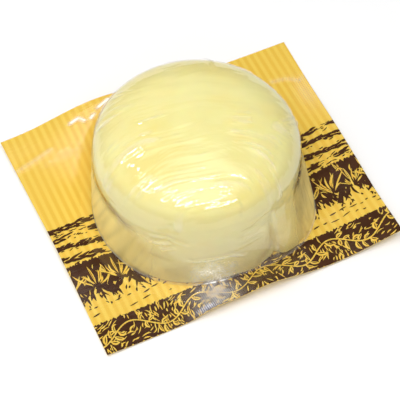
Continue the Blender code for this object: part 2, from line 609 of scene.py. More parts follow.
class CheeseSettings(bpy.types.PropertyGroup):
    """Sizes and colours of the cheese."""

    film_gap: length_setting("Gap to film", 0.45 * MM, "How far the cheese lies inside its film")
    film_print: length_setting("Film print", 0.1 * MM, "Height of the lines the film leaves in the curd")
    neck_height: length_setting("Neck height", 14.0 * MM, "Height of the narrow line under the rim")
    cream: colour_setting("Cream", (0.97, 0.88, 0.385), "Main colour of the curd")
    # Painted shade: the side and the back rim take this darker colour in place of their shading.
    side: colour_setting("Side", (0.88, 0.79, 0.345), "Colour of the side's curd")
    # Painted shade: this darker colour is laid in patches towards the foot.
    foot: colour_setting("Foot", (0.72, 0.58, 0.20), "Colour of the damp curd near the foot")
    butter: colour_setting("Butter", (0.955, 0.80, 0.26), "Deeper colour of the curd")


class FilmSettings(bpy.types.PropertyGroup):
    """Sizes of the clear film and its wrinkles."""

    thickness: length_setting("Thickness", 0.1 * MM, "Thickness of the film")
    margin_gap: length_setting("Gap to sheet", 0.2 * MM, "Space that the print takes under the film")
    wrinkle: length_setting("Wrinkle", 0.85 * MM, "Height of the wrinkles on the dome")
    rim_pleat: length_setting("Rim pleat", 0.7 * MM, "Height of the short pleats round the back rim")
    pleat: length_setting("Pleat", 0.65 * MM, "Height of the folds down the skirt")


class StudioSettings(bpy.types.PropertyGroup):
    """Camera and lights."""

    azimuth: angle_setting("Azimuth", -24.85, "Camera's turn about Z")
    elevation: angle_setting("Elevation", 56.99, "Camera's rise")
    distance: length_setting("Distance", 715.8 * MM, "Camera to aim point")
    field: angle_setting("Field of view", 15, "Camera's angle of view")
    aim: FloatVectorProperty(
        name="Aim", description="Point on the table that the camera looks at",
        default=(-2.09 * MM, -5.28 * MM, 0.0), subtype="XYZ",
    )
    key_power: plain_setting("Key power", 2.95, "Power of the long key lamp")
    side_power: plain_setting("Side power", 2.1, "Power of the small lamp at the back left")
    horizon: plain_setting("Horizon", 0.25, "Strength of the surroundings low down")
    shell: plain_setting("Shell", 0.9, "Strength of the surroundings half way up")
    zenith: plain_setting("Zenith", 3.2, "Strength of the surroundings straight overhead")


# ------------------------------------------------------------------------ sheet


COLUMNS = 308
MARGIN_ROWS = 60
MARGIN_CROWDING = 1.4

# Rows under the cheese, as shares of the way from the foot's centre to the foot.
INNER_SHARES = (*np.linspace(0.0, 0.85, 7), *np.linspace(0.88, 1.0, 9)[:-1])


def margin_shares():
    """How far out each row of the margin lies, from 0 at the foot to 1 at the edge: closest at the foot."""
    return (np.arange(MARGIN_ROWS + 1) / MARGIN_ROWS) ** MARGIN_CROWDING


def sheet_rows(edge_x, edge_y, angle):
    """Points of the sheet's top: a flat middle, rows up to the foot, and the margin's rows."""
    foot = foot_point(angle)
    rows = [between(FOOT_CENTRE, foot, share) for share in INNER_SHARES]
    rows += [between(foot, (edge_x, edge_y), share) for share in margin_shares()]
    x, y = np.moveaxis(np.array(rows), 1, 0)
    return np.stack([x, y, SHEET_THICKNESS + sheet_lift(x, y)], axis=-1)


def wrap_rows(name, rows):
    """A piece made of rows of points from the middle outward, and the row and column of each vertex."""
    count = len(rows) - 1
    piece, turn, out = new_grid(name, COLUMNS, count)
    column = np.round(turn * COLUMNS).astype(int) % COLUMNS
    row = np.round(out * count).astype(int)
    placed = rows[row, column]
    set_points(piece, placed[:, 0], placed[:, 1], placed[:, 2])
    return piece, row, column


def round_the_edge():
    """The edge's points and their directions from the foot's centre, once round."""
    edge_x, edge_y = edge_point(np.arange(COLUMNS) / COLUMNS)
    return edge_x, edge_y, direction_from(FOOT_CENTRE, edge_x, edge_y)


def thin_the_rim(piece):
    """Raises the underside close to the sheet's edge, so that the cut edge is thin."""
    x, y, z = get_points(piece).T
    out = np.maximum(np.abs(x) / (SHEET_WIDTH / 2), np.abs(y) / (SHEET_DEPTH / 2))
    under = z - sheet_lift(x, y) < SHEET_THICKNESS / 2
    set_points(piece, x, y, z + under * (SHEET_THICKNESS - SHEET_RIM) * smooth_step(0.96, 0.98, out))


def yellow_material(sheet):
    """Yellow film printed with soft stripes that run from back to front."""
    material, nodes = new_material("striped_yellow_film")
    place = nodes.place()
    stripes = nodes.ramp(nodes.bands(place, sheet.stripe_pitch), 0.1, 0.9)
    colour = nodes.blend(stripes, linear(sheet.light_yellow), linear(sheet.golden_yellow))
    toned = nodes.group(
        "Uneven tone", Vector=place, Scale=45.0, Colour=colour,
        Other_Colour=(0.94, 0.62, 0.11, 1.0), Strength=0.35,
    )
    normal = nodes.bump(nodes.group("Film crinkle", Vector=place, Fineness=0.5), 0.25, 0.2 * MM)
    nodes.show(nodes.principled(Base_Color=toned, Roughness=0.35, Normal=normal, Specular_IOR_Level=0.2))
    return material


class PACK_OT_backing_sheet(bpy.types.Operator):
    """Makes the yellow backing sheet with its curled edges"""

    bl_idname = "packed_cheese.backing_sheet"
    bl_label = "Backing Sheet"

    def execute(self, context):
        sheet = context.scene.pack_sheet
        piece = wrap_rows("backing_sheet", sheet_rows(*round_the_edge()))[0]
        close_up(piece)
        face_upward(piece)
        thicken(piece, SHEET_THICKNESS)
        thin_the_rim(piece)
        finish_piece(piece, yellow_material(sheet), ["printed_backing"])
        return {"FINISHED"}


# ------------------------------------------------------------------------ print


# The print's design, in millimetres on the flat sheet. Y runs to the back.
DESIGN_HALF_WIDTH = 75.0
DESIGN_HALF_DEPTH = 63.0
TWIG_ROWS = (6.2, 0.4, -5.6, -11.2)
SHEAF_BAND = (-14.8, -30.0)
SHEAF_PITCH = 13.0
DASH_ROWS = (-39.4, -43.2)
VINE_BAND = (-47.0, -63.0)
VINE_SWING = 4.0
VINE_WAVE = 5.4
VINE_STEP = 1.25
VINE_LEAF_CHANCE = 0.42
VINE_STROKES = 520
DASH_CHANCE = 0.72
VEINED_WIDTH = 0.95
PRINTED_SHARE = 0.9995
DARK_LEVEL = (0.03 * MM, 0.09 * MM)
LIGHT_LEVEL = (0.095 * MM, 0.13 * MM)
VEIN_LEVEL = (0.135 * MM, 0.16 * MM)
FIELD_COLUMNS = 420
FIELD_ROWS = 16


def design_to_sheet(x, y, height):
    """Lays points of the flat design, in millimetres, on the sheet's top, at a height above it."""
    across = np.clip(x / DESIGN_HALF_WIDTH, -PRINTED_SHARE, PRINTED_SHARE)
    along = np.clip(y / DESIGN_HALF_DEPTH, -PRINTED_SHARE, PRINTED_SHARE)
    place_x, place_y = sheet_point(across, along)
    return place_x, place_y, SHEET_THICKNESS + sheet_lift(place_x, place_y) + height


def stroke_template():
    """One flat stroke as points, each with its shares along, across and up, and as faces."""
    piece = new_grid("stroke", 4, 1)[0]
    with whole_in_edit_mode(piece):
        bpy.ops.mesh.extrude_region_move(TRANSFORM_OT_translate={"value": (0.0, 0.0, 1.0)})
        bpy.ops.mesh.select_all(action="SELECT")
        bpy.ops.mesh.normals_make_consistent(inside=False)
    return take_apart(piece)


def lay_strokes(strokes, level, template):
    """All strokes as points and faces. A stroke is x, y, degrees, length, width, bend and tip."""
    points, faces = template
    table = np.array(strokes)
    x, y, degrees, length, width, bend, tip = (table[:, [column]] for column in range(7))
    angle = np.radians(degrees)
    along = points[None, :, 0]
    taper = (1.0 - (2.0 * np.abs(along)) ** 2.4) * (1.0 - tip) + tip
    local_x = along * length
    local_y = points[None, :, 1] * width * taper + bend * (0.25 - along * along) * 4.0
    place_x = x + local_x * np.cos(angle) - local_y * np.sin(angle)
    place_y = y + local_x * np.sin(angle) + local_y * np.cos(angle)
    height = np.broadcast_to(mix(level[0], level[1], points[None, :, 2]), place_x.shape)
    laid = np.stack(design_to_sheet(place_x, place_y, height), axis=-1).reshape(-1, 3)
    starts = np.arange(len(table))[:, None, None] * len(points)
    return laid, (faces[None] + starts).reshape(-1, faces.shape[1])


def mesh_piece(name, parts):
    """One piece from several sets of points and faces."""
    points = np.concatenate([part[0] for part in parts])
    faces = []
    start = 0
    for part_points, part_faces in parts:
        faces.extend((part_faces + start).tolist())
        start += len(part_points)
    mesh = bpy.data.meshes.new(name)
    mesh.from_pydata(points.tolist(), [], faces)
    mesh.update()
    piece = bpy.data.objects.new(name, mesh)
    bpy.context.scene.collection.objects.link(piece)
    return piece


def ragged_edge(middle, ragged, fineness, seed):
    """How far back a band's uneven long edge lies, from left to right."""
    steps = np.arange(FIELD_COLUMNS + 1)
    places = np.stack([steps * fineness, steps * 0.0, steps * 0.0 + seed], axis=-1)
    return middle + ragged * noise_at(places, 2)


def dark_field(top, bottom, ragged, seed):
    """A dark band across the sheet with uneven, hand-cut long edges."""
    piece, across, along = new_grid("field", FIELD_COLUMNS, FIELD_ROWS)
    column = np.round(across * FIELD_COLUMNS).astype(int)
    upper = ragged_edge(top, ragged, 0.31, seed)[column]
    lower = ragged_edge(bottom, ragged, 0.27, seed + 5.0)[column]
    x = mix(-DESIGN_HALF_WIDTH, DESIGN_HALF_WIDTH, across)
    y = mix(lower, upper, along)
    set_points(piece, *design_to_sheet(x, y, np.full_like(x, DARK_LEVEL[1])))
    face_upward(piece)
    thicken(piece, DARK_LEVEL[1] - DARK_LEVEL[0])
    return take_apart(piece)


def away_from(foot_x, foot_y, degrees, start, length):
    """The middle of a stroke that begins a little way from a foot point and points away from it."""
    reach = start + length / 2
    turn = math.radians(degrees)
    return foot_x + reach * math.cos(turn), foot_y + reach * math.sin(turn)


def twig_rows(rng):
    """Rows of slanted leaves, bold and fine, that lie in bunches along unseen twigs."""
    strokes = []
    for row, middle in enumerate(TWIG_ROWS):
        x = -DESIGN_HALF_WIDTH
        while x < DESIGN_HALF_WIDTH:
            bunch = math.sin(x / 6.1 + row * 2.3) + 0.6 * math.sin(x / 2.9 + row)
            swing = 0.9 * math.sin(x / 9.0 + row * 1.7)
            for side in (-1.0, 1.0):
                if bunch > -0.9 + 0.5 * rng.random():
                    strokes.append((
                        x + rng.uniform(-0.8, 0.8), middle + swing + side * rng.uniform(0.3, 1.1),
                        side * rng.uniform(0, 20) + 5, rng.uniform(2.6, 6.5), rng.uniform(0.8, 1.5),
                        rng.uniform(-0.35, 0.35), 0.15,
                    ))
            for twig in range(2):
                strokes.append((
                    x + rng.uniform(-1, 1), middle + swing + rng.uniform(-2.4, 2.2), rng.uniform(-12, 26),
                    rng.uniform(1.0, 3.6), rng.uniform(0.35, 0.7), rng.uniform(-0.3, 0.3), 0.2,
                ))
            x += rng.uniform(1.8, 2.8)
    return strokes


def leaf(strokes, veins, place, turn, length, width, bend):
    """One cut-out leaf, with a dark vein when it is broad enough."""
    strokes.append((*place, turn, length, width, bend, 0.06))
    if width > VEINED_WIDTH:
        veins.append((*place, turn, length * 0.62, width * 0.24, bend * 0.5, 0.1))


def sheaf_strokes(rng):
    """Sheaves of leaves: light ones cut into the dark band, their veins, and dark ones hanging under it."""
    light = []
    dark = []
    veins = []
    foot_x = -DESIGN_HALF_WIDTH - 4.0
    while foot_x < DESIGN_HALF_WIDTH + 6.0:
        foot_y = SHEAF_BAND[1] + 0.5 + rng.uniform(-1.4, 1.2)
        for ray in range(-4, 5):
            turn = 90 + ray * 14 + rng.uniform(-5, 5)
            length = rng.uniform(4.5, 12.5) - 0.3 * abs(ray)
            place = away_from(foot_x, foot_y, turn, rng.uniform(1.2, 3.5), length)
            leaf(light, veins, place, turn, length, rng.uniform(0.4, 1.15), rng.uniform(-0.9, 0.9))
        for ray in range(7):
            place = (foot_x + SHEAF_PITCH / 2 + rng.uniform(-5.0, 5.0), rng.uniform(-28.5, -17.0))
            turn = rng.uniform(50, 130)
            length = rng.uniform(1.8, 6.0)
            leaf(light, veins, place, turn, length, rng.uniform(0.4, 1.2), rng.uniform(-0.6, 0.6))
        for ray in range(13):
            turn = -90 + rng.uniform(-45, 45)
            length = rng.uniform(3.5, 9.5)
            start_x = foot_x + rng.uniform(-SHEAF_PITCH / 2, SHEAF_PITCH / 2)
            place = away_from(start_x, SHEAF_BAND[1] + 1.2, turn, 0.0, length)
            dark.append((*place, turn, length, rng.uniform(0.8, 1.9), rng.uniform(-0.9, 0.9), 0.12))
            if ray % 2 == 0:
                dark.append((
                    place[0] + rng.uniform(-2, 2), place[1] - length / 2 - rng.uniform(0.3, 2.0), turn,
                    rng.uniform(0.9, 2.6), rng.uniform(0.5, 1.0), rng.uniform(-0.3, 0.3), 0.25,
                ))
        foot_x += SHEAF_PITCH * rng.uniform(0.85, 1.15)
    return light, dark, veins


def dash_rows(rng):
    """Loose rows of short dashes on the plain strip between the bands."""
    strokes = []
    for middle in DASH_ROWS:
        x = -DESIGN_HALF_WIDTH + rng.uniform(1.0, 3.0)
        while x < DESIGN_HALF_WIDTH:
            length = rng.uniform(1.2, 4.6)
            if rng.random() < DASH_CHANCE:
                strokes.append((
                    x + length / 2, middle + rng.uniform(-0.9, 0.9), rng.uniform(0, 16), length,
                    rng.uniform(0.45, 0.8), rng.uniform(-0.2, 0.2), 0.2,
                ))
            x += length + rng.uniform(0.8, 2.6)
    return strokes


def vine_height(x):
    """Where the vine's stem runs in its band."""
    middle = (VINE_BAND[0] + VINE_BAND[1]) / 2
    return middle + VINE_SWING * math.sin(x / VINE_WAVE)


def vine_strokes(rng):
    """A light winding vine with broad veined leaves, and hatching, cut into the front band."""
    light = []
    veins = []
    x = -DESIGN_HALF_WIDTH
    side = 1.0
    while x < DESIGN_HALF_WIDTH:
        slope = math.degrees(math.atan(VINE_SWING / VINE_WAVE * math.cos(x / VINE_WAVE)))
        light.append((x, vine_height(x), slope, 1.9, rng.uniform(0.6, 0.85), 0.0, 0.6))
        if rng.random() < VINE_LEAF_CHANCE:
            turn = slope + side * rng.uniform(38, 75)
            length = rng.uniform(3.6, 5.8)
            place = away_from(x, vine_height(x), turn, 0.2, length)
            leaf(light, veins, place, turn, length, rng.uniform(1.3, 2.2), side * rng.uniform(0.2, 0.7))
            side = -side
        x += VINE_STEP
    while len(light) < VINE_STROKES:
        x = rng.uniform(-1.0, 1.0) * DESIGN_HALF_WIDTH
        y = rng.uniform(VINE_BAND[1] + 0.4, VINE_BAND[0] - 0.8)
        if abs(y - vine_height(x)) > 1.6:
            turn = 60 + 50 * math.sin(x / 7.0 + y / 5.0) + rng.uniform(-22, 22)
            light.append((
                x, y, turn, rng.uniform(1.2, 4.4), rng.uniform(0.35, 0.75), rng.uniform(-0.5, 0.5), 0.15,
            ))
    return light, veins


def ink_material(ink):
    """Brown ink under film, a little uneven in tone."""
    material, nodes = new_material("brown_ink")
    place = nodes.place()
    toned = nodes.group(
        "Uneven tone", Vector=place, Scale=200.0, Colour=linear(ink),
        Other_Colour=(0.09, 0.034, 0.014, 1.0), Strength=0.6,
    )
    rough = nodes.ramp(nodes.noise(place, 400.0), 0.3, 0.7, 0.32, 0.45)
    nodes.show(nodes.principled(Base_Color=toned, Roughness=rough, Specular_IOR_Level=0.2))
    return material


class PACK_OT_printed_border(bpy.types.Operator):
    """Prints the sheet's front half: twigs, sheaves, dashes and a vine"""

    bl_idname = "packed_cheese.printed_border"
    bl_label = "Printed Border"

    def execute(self, context):
        sheet = context.scene.pack_sheet
        rng = random.Random(sheet.seed)
        template = stroke_template()
        sheaf_light, sheaf_dark, sheaf_veins = sheaf_strokes(rng)
        dark_strokes = twig_rows(rng) + sheaf_dark + dash_rows(rng)
        vine_light, vine_veins = vine_strokes(rng)
        dark = mesh_piece("dark_print", [
            lay_strokes(dark_strokes, DARK_LEVEL, template),
            lay_strokes(sheaf_veins + vine_veins, VEIN_LEVEL, template),
            dark_field(*SHEAF_BAND, 1.6, 1.0),
            dark_field(*VINE_BAND, 1.2, 2.0),
        ])
        light = mesh_piece("light_print", [lay_strokes(sheaf_light + vine_light, LIGHT_LEVEL, template)])
        finish_piece(dark, ink_material(sheet.ink))
        finish_piece(light, bpy.data.materials["striped_yellow_film"])
        return {"FINISHED"}


# ----------------------------------------------------------------------- cheese


CHEESE_COLUMNS = 280
CHEESE_ROWS = 150
TOP_SHARE = 0.55
SIDE_SHARE = 0.35
BOTTOM_AT = SHEET_THICKNESS + 0.5 * MM
BOTTOM_ROUNDING = 1.6 * MM

# The side by direction: angle in degrees, and radius at the neck and at the base in millimetres.
# The front has slumped out to the film, and the lump at -60 is the strip's end.
SIDE_STOPS = (
    (-200, 43.0, 45.0),
    (-176, 43.5, 47.5),
    (-160, 46.5, 52.5),
    (-146, 50.5, 54.5),
    (-118, 51.5, 54.5),
    (-92, 51.5, 52.0),
    (-75, 50.0, 50.0),
    (-72, 48.5, 49.4),
    (-69, 51.5, 53.4),
    (-62, 52.5, 55.2),
    (-55, 51.5, 54.2),
    (-46, 46.5, 49.5),
    (-34, 43.5, 46.0),
    (0, 42.5, 45.0),
    (160, 43.0, 45.0),
)

# The middle of the slumped front, how hollow the wall is there, and where the strip ends.
FRONT_MIDDLE = math.radians(-111)
FRONT_HOLLOW = 1.0
STRIP_END = math.radians(-72.5)

# What stands out or in on the slumped front: size, height and reach. Then the groove beside
# the strip's end, and how uneven the whole round is.
FRONT_SWELLS = ((2.0 * MM, 42.5 * MM, 4.8 * MM), (-0.3 * MM, 31 * MM, 2.2 * MM))
WALL_FILL = 0.55 * MM
STRIP_GROOVE = 0.7 * MM
UNEVENNESS = 0.7 * MM


def by_direction(stops, angle, column=1):
    """A value that goes by direction, between stops that begin with degrees from -200 to 160."""
    table = np.array(stops)
    degrees = (np.degrees(angle) + 200) % 360 - 200
    return np.interp(degrees, table[:, 0], table[:, column])


def cheese_top(angle, turn, gap):
    """The domed top, from its middle at 0 to its widest line at 1."""
    slope = turn * math.pi / 2
    radius = (ROUND_RADIUS - gap) * np.sin(slope) ** (2.0 / SHOULDER_POWER)
    rise = np.maximum(0.0, np.cos(slope)) ** (2.0 / SHOULDER_POWER)
    height = mix(ROUND_WIDEST_AT, ROUND_HEIGHT - gap, rise)
    return CHEESE_CENTRE[0] + radius * np.cos(angle), CHEESE_CENTRE[1] + radius * np.sin(angle), height


def front_part(angle, outer, inner):
    """1 within the inner turn of the front's middle, 0 beyond the outer one. Both are in degrees."""
    gap = np.abs(angle_gap(angle, FRONT_MIDDLE))
    return smooth_step(math.radians(outer), math.radians(inner), gap)


def wide_front(angle):
    """1 where the wall runs straight down to the foot at the front, 0 from the sides to the back."""
    return front_part(angle, 85, 45)


def skirt_flare(angle, drop):
    """How far out between the widest line and the foot the film lies, by its drop from 0 to 1."""
    return drop ** mix(SKIRT_HOLLOW, FRONT_HOLLOW, wide_front(angle))


def slumped(x, y, z, angle):
    """Points of the smooth shape with the slumped front and the round's unevenness added."""
    shoulder = sum(size * bell(z, middle, reach) for size, middle, reach in FRONT_SWELLS)
    wall = WALL_FILL * smooth_step(35 * MM, 26 * MM, z) * np.clip(z / (26 * MM), 0.0, 1.0)
    fill = wide_front(angle) * (shoulder + wall)
    strip_end = STRIP_GROOVE * bell(angle_gap(angle, STRIP_END), 0.0, math.radians(2.4))
    strip_end = strip_end * bell(z, 15 * MM, 9 * MM)
    uneven = noise_round(angle, 1.3, z, 40 * MM)
    off_middle = smooth_step(8 * MM, 30 * MM, distance_from(CHEESE_CENTRE, x, y))
    high = smooth_step(4 * MM, 20 * MM, z) * off_middle
    out = fill - strip_end + UNEVENNESS * uneven * high
    return x + out * np.cos(angle), y + out * np.sin(angle), z + dome_dips(x, y, z)


def dome_dips(x, y, z):
    """Shallow dips in the dome: a few broad ones, and flatter ones that run across the front."""
    across = along_heading(x, y, FRONT_HEADING + math.pi / 2)
    toward = along_heading(x, y, FRONT_HEADING)
    broad = 0.8 * MM * np.minimum(0.0, cloud(x, y, 26 * MM, 31.0)) * smooth_step(44 * MM, 49 * MM, z)
    return broad + 0.35 * MM * cloud(across, toward * 2.2, 15 * MM, 17.0) * smooth_step(36 * MM, 46 * MM, z)


def along_heading(x, y, heading):
    """How far points lie along a heading."""
    return x * math.cos(heading) + y * math.sin(heading)


def cheese_side(angle, drop, cheese):
    """The side under the widest line, from there at 0 down to the base at 1."""
    height = mix(ROUND_WIDEST_AT, BOTTOM_AT + BOTTOM_ROUNDING, drop)
    film_drop = (ROUND_WIDEST_AT - height) / (ROUND_WIDEST_AT - SHEET_THICKNESS)
    flare = skirt_flare(angle, film_drop)
    neck = by_direction(SIDE_STOPS, angle, 1) * MM
    base = by_direction(SIDE_STOPS, angle, 2) * MM
    widest = ROUND_RADIUS - cheese.film_gap
    neck_drop = 1.0 - cheese.neck_height / ROUND_WIDEST_AT
    radius = mix(widest, neck, smooth_step(0.0, neck_drop, drop))
    radius = radius + (base - neck) * smooth_step(neck_drop, 1.0, drop)
    radius = np.minimum(radius, mix(ROUND_RADIUS, foot_radius(angle), flare) - cheese.film_gap)
    centre_x = mix(CHEESE_CENTRE[0], FOOT_CENTRE[0], flare)
    centre_y = mix(CHEESE_CENTRE[1], FOOT_CENTRE[1], flare)
    return centre_x + radius * np.cos(angle), centre_y + radius * np.sin(angle), height


def cheese_surface(angle, down, cheese):
    """A point of the cheese, from the middle of its top at 0 to the middle of its underside at 1."""
    top = cheese_top(angle, np.clip(down / TOP_SHARE, 0.0, 1.0), cheese.film_gap)
    side = cheese_side(angle, np.clip((down - TOP_SHARE) / SIDE_SHARE, 0.0, 1.0), cheese)
    rest = np.clip((down - TOP_SHARE - SIDE_SHARE) / (1.0 - TOP_SHARE - SIDE_SHARE), 0.0, 1.0)
    tuck = np.minimum(1.0, rest / 0.4) * math.pi / 2
    inward = np.clip((rest - 0.4) / 0.6, 0.0, 1.0)
    base_x = side[0] - BOTTOM_ROUNDING * (1.0 - np.cos(tuck)) * np.cos(angle)
    base_y = side[1] - BOTTOM_ROUNDING * (1.0 - np.cos(tuck)) * np.sin(angle)
    under = (
        mix(base_x, FOOT_CENTRE[0], inward),
        mix(base_y, FOOT_CENTRE[1], inward),
        BOTTOM_AT + BOTTOM_ROUNDING * (1.0 - np.sin(tuck)),
    )
    on_top = down <= TOP_SHARE
    on_side = down <= TOP_SHARE + SIDE_SHARE
    return [np.where(on_top, top[axis], np.where(on_side, side[axis], under[axis])) for axis in range(3)]


def curd_colour(nodes, place, cheese):
    """The curd's colour: cream on top, with painted shade that makes it duller on the side and the back rim,
    and darker near the foot.
    """
    toned = nodes.group(
        "Uneven tone", Vector=place, Scale=32.0, Colour=linear(cheese.cream),
        Other_Colour=linear(cheese.butter), Strength=0.8,
    )
    parts = nodes.axes(place)
    # Painted shade: the front below the shoulder and the back rim are dulled towards the side's colour.
    front = nodes.ramp(parts["Y"], 30 * MM, -15 * MM)
    low = nodes.times(nodes.ramp(parts["Z"], 42.5 * MM, 36.5 * MM), front)
    rim = nodes.times(nodes.ramp(parts["Z"], 50.5 * MM, 30 * MM), nodes.minus(0.9, front))
    toned = nodes.blend(nodes.math("MAXIMUM", low, rim), toned, linear(cheese.side))
    # Painted shade: the curd darkens in patches towards the foot.
    foot_shade_patches = nodes.ramp(nodes.noise(place, 75.0), 0.35, 0.6, 0.4, 1.0)
    foot_shade = nodes.times(nodes.ramp(parts["Z"], 26 * MM, 1 * MM), foot_shade_patches)
    toned = nodes.blend(foot_shade, toned, linear(cheese.foot))
    drift = nodes.noise(nodes.stretched(place, (38.0, 38.0, 70.0), 0.6), 1.0, 3.0)
    below_rim = nodes.ramp(parts["Z"], 36 * MM, 28 * MM)
    sallow = nodes.times(nodes.ramp(drift, 0.48, 0.66, 0.0, 0.45), below_rim)
    return nodes.blend(sallow, toned, (0.86, 0.72, 0.25, 1.0))


def cheese_material(cheese):
    """Moist cream-yellow curd that light soaks into."""
    material, nodes = new_material("cream_curd")
    place = nodes.place()
    layers = nodes.noise(nodes.stretched(place, (40.0, 40.0, 260.0)), 1.0, 3.0)
    nodes.show(nodes.principled(
        Base_Color=curd_colour(nodes, place, cheese), Normal=nodes.bump(layers, 0.3, 0.4 * MM),
        Roughness=0.42, Subsurface_Weight=0.35, Subsurface_Scale=3.0 * MM,
        Subsurface_Radius=(1.0, 0.75, 0.3),
    ))
    return material


class PACK_OT_cheese(bpy.types.Operator):
    """Makes the round of cheese: domed top, narrow side, and the end of its strip"""

    bl_idname = "packed_cheese.cheese"
    bl_label = "Cheese"

    def execute(self, context):
        cheese = context.scene.pack_cheese
        piece, turn, down = new_grid("cheese", CHEESE_COLUMNS, CHEESE_ROWS)
        angle = turn * 2 * math.pi
        x, y, z = slumped(*cheese_surface(angle, down, cheese), angle)
        soft = noise_at(np.stack([x / (22 * MM), y / (22 * MM), z / (16 * MM)], axis=-1), 3)
        low = smooth_step(ROUND_WIDEST_AT, 12 * MM, z) * smooth_step(BOTTOM_AT, 4 * MM, z)
        creases = wall_creases(angle_gap(angle, 0.0), z, CURD_FOLD_REACH)
        dent = (soft - 0.4) * 0.9 * MM * low - 0.8 * creases
        print_of_film = cheese.film_print * wrinkle_field(x, y) * (z > ROUND_WIDEST_AT)
        set_points(piece, x + np.cos(angle) * dent, y + np.sin(angle) * dent, z + print_of_film)
        close_up(piece)
        finish_piece(piece, cheese_material(cheese), ["sealed_cheese"])
        return {"FINISHED"}


# ------------------------------------------------------------------------- film


# The film's rows. Its inner side takes every fourth of them.
DOME_ROWS = 140
SKIRT_ROWS = 52
FOOT_ROW = DOME_ROWS + SKIRT_ROWS
INNER_STEP = 4

# The skirt's folds lean: straight above their foot at the level, and a radian on by the height.
LEAN_LEVEL = 14 * MM
LEAN_HEIGHT = 130 * MM

# How wide the front wall's folds are in the film and in the curd, and how wide the margin's
# creases are in its shape and in its whiteness.
FOLD_REACH = 0.7 * MM
CURD_FOLD_REACH = 1.1 * MM
CREASE_REACH = 1.2 * MM
WHITE_CREASE_REACH = 0.9 * MM

# The painted sheen line above the foot, and the painted highlight line at the front: height, reach,
# direction.
FOOT_SHEEN = (1.4 * MM, 1.0 * MM)
HIGHLIGHT_LINE = (0.8 * MM, 0.4 * MM)
HIGHLIGHT_LINE_MIDDLE = math.radians(-108)


def film_rows(edge_x, edge_y, angle, gap):
    """Points of the smooth film: dome, skirt and margin, as rows outward and columns round."""
    base = SHEET_THICKNESS + gap
    foot = foot_point(angle)
    foot_z = base + sheet_lift(*foot)
    widest = cheese_top(angle, np.ones_like(angle), 0.0)
    rows = []
    for row in range(DOME_ROWS):
        rows.append(cheese_top(angle, np.full_like(angle, row / DOME_ROWS), 0.0))
    for row in range(SKIRT_ROWS):
        drop = row / SKIRT_ROWS
        flared = between(widest[:2], foot, skirt_flare(angle, drop))
        rows.append((*flared, mix(widest[2], foot_z, drop)))
    for share in margin_shares():
        x, y = between(foot, (edge_x, edge_y), share)
        rows.append((x, y, base + sheet_lift(x, y)))
    rows = np.array([np.stack(np.broadcast_arrays(*row), axis=-1) for row in rows])
    raised = slumped(*np.moveaxis(rows[:FOOT_ROW], -1, 0), angle)
    rows[:FOOT_ROW] = np.stack(raised, axis=-1)
    soften_foot(rows)
    return rows


def soften_foot(rows, reach=3, passes=6):
    """Rounds the corner where the skirt meets the margin."""
    for step in range(passes):
        inner = slice(FOOT_ROW - reach, FOOT_ROW + 1)
        before = rows[FOOT_ROW - reach - 1:FOOT_ROW]
        after = rows[FOOT_ROW - reach + 1:FOOT_ROW + 2]
        rows[inner] = rows[inner] * 0.5 + (before + after) * 0.25


def row_normals(rows):
    """Outward normals of the film's rows of points."""
    around = np.roll(rows, -1, axis=1) - np.roll(rows, 1, axis=1)
    outward = np.gradient(rows, axis=0)
    normals = np.cross(outward, around)
    normals /= np.maximum(np.linalg.norm(normals, axis=-1, keepdims=True), 1e-12)
    normals[0] = (0.0, 0.0, 1.0)
    return normals


def dome_wrinkles(rows, film):
    """Wrinkle height on the dome, which eases off below the widest line."""
    x, y, height = np.moveaxis(rows, -1, 0)
    on_dome = smooth_step(ROUND_WIDEST_AT - 1 * MM, ROUND_WIDEST_AT + 8 * MM, height)
    turn = direction_from(CHEESE_CENTRE, x, y)
    spokes = noise_round(turn + (height - 36 * MM) / (60 * MM), 19.0, height, 11 * MM)
    at_rim = smooth_step(47 * MM, 40 * MM, height) * smooth_step(24 * MM, 32 * MM, height)
    behind = smooth_step(0.2, -0.3, np.cos(turn - FRONT_HEADING))
    pleats = film.rim_pleat * np.maximum(0.0, spokes - 0.05) * at_rim * behind
    return film.wrinkle * wrinkle_field(x, y) * on_dome + pleats


def above_sheet(rows):
    """How high each of the film's points lies over the sheet."""
    x, y, height = np.moveaxis(rows, -1, 0)
    return height - SHEET_THICKNESS - sheet_lift(x, y)


def leaning(angle, height):
    """Directions that shift with height, as the skirt's folds lean."""
    return angle - (height - LEAN_LEVEL) / LEAN_HEIGHT


def skirt_folds(rows, angle, film):
    """Fold height on the skirt: leaning folds, deepest where the film hangs free, and the wall's folds."""
    height = rows[..., 2]
    turn = np.broadcast_to(angle, height.shape)
    wide = noise_round(leaning(turn, height), 9.0, height, 30 * MM)
    fine = noise_round(leaning(turn, height), 19.0, height, 16 * MM)
    ridges = 0.5 * np.maximum(0.0, wide + 0.1) + 0.6 * sharp_crests(fine)
    free = smooth_step(30 * MM, 22 * MM, height) * smooth_step(0.5 * MM, 4 * MM, above_sheet(rows))
    folds = film.pleat * free * hanging_free(turn) * ridges
    return folds + wall_creases(turn, height, FOLD_REACH) * (above_sheet(rows) > MM)


# How free the film hangs of the cheese, by direction in degrees.
FREE_STOPS = (
    (-200, 1.0), (-166, 1.0), (-150, 0.55), (-138, 0.15), (-125, 0.0),
    (-79, 0.0), (-66, 0.2), (-54, 0.5), (-45, 0.95), (-36, 1.0), (160, 1.0),
)

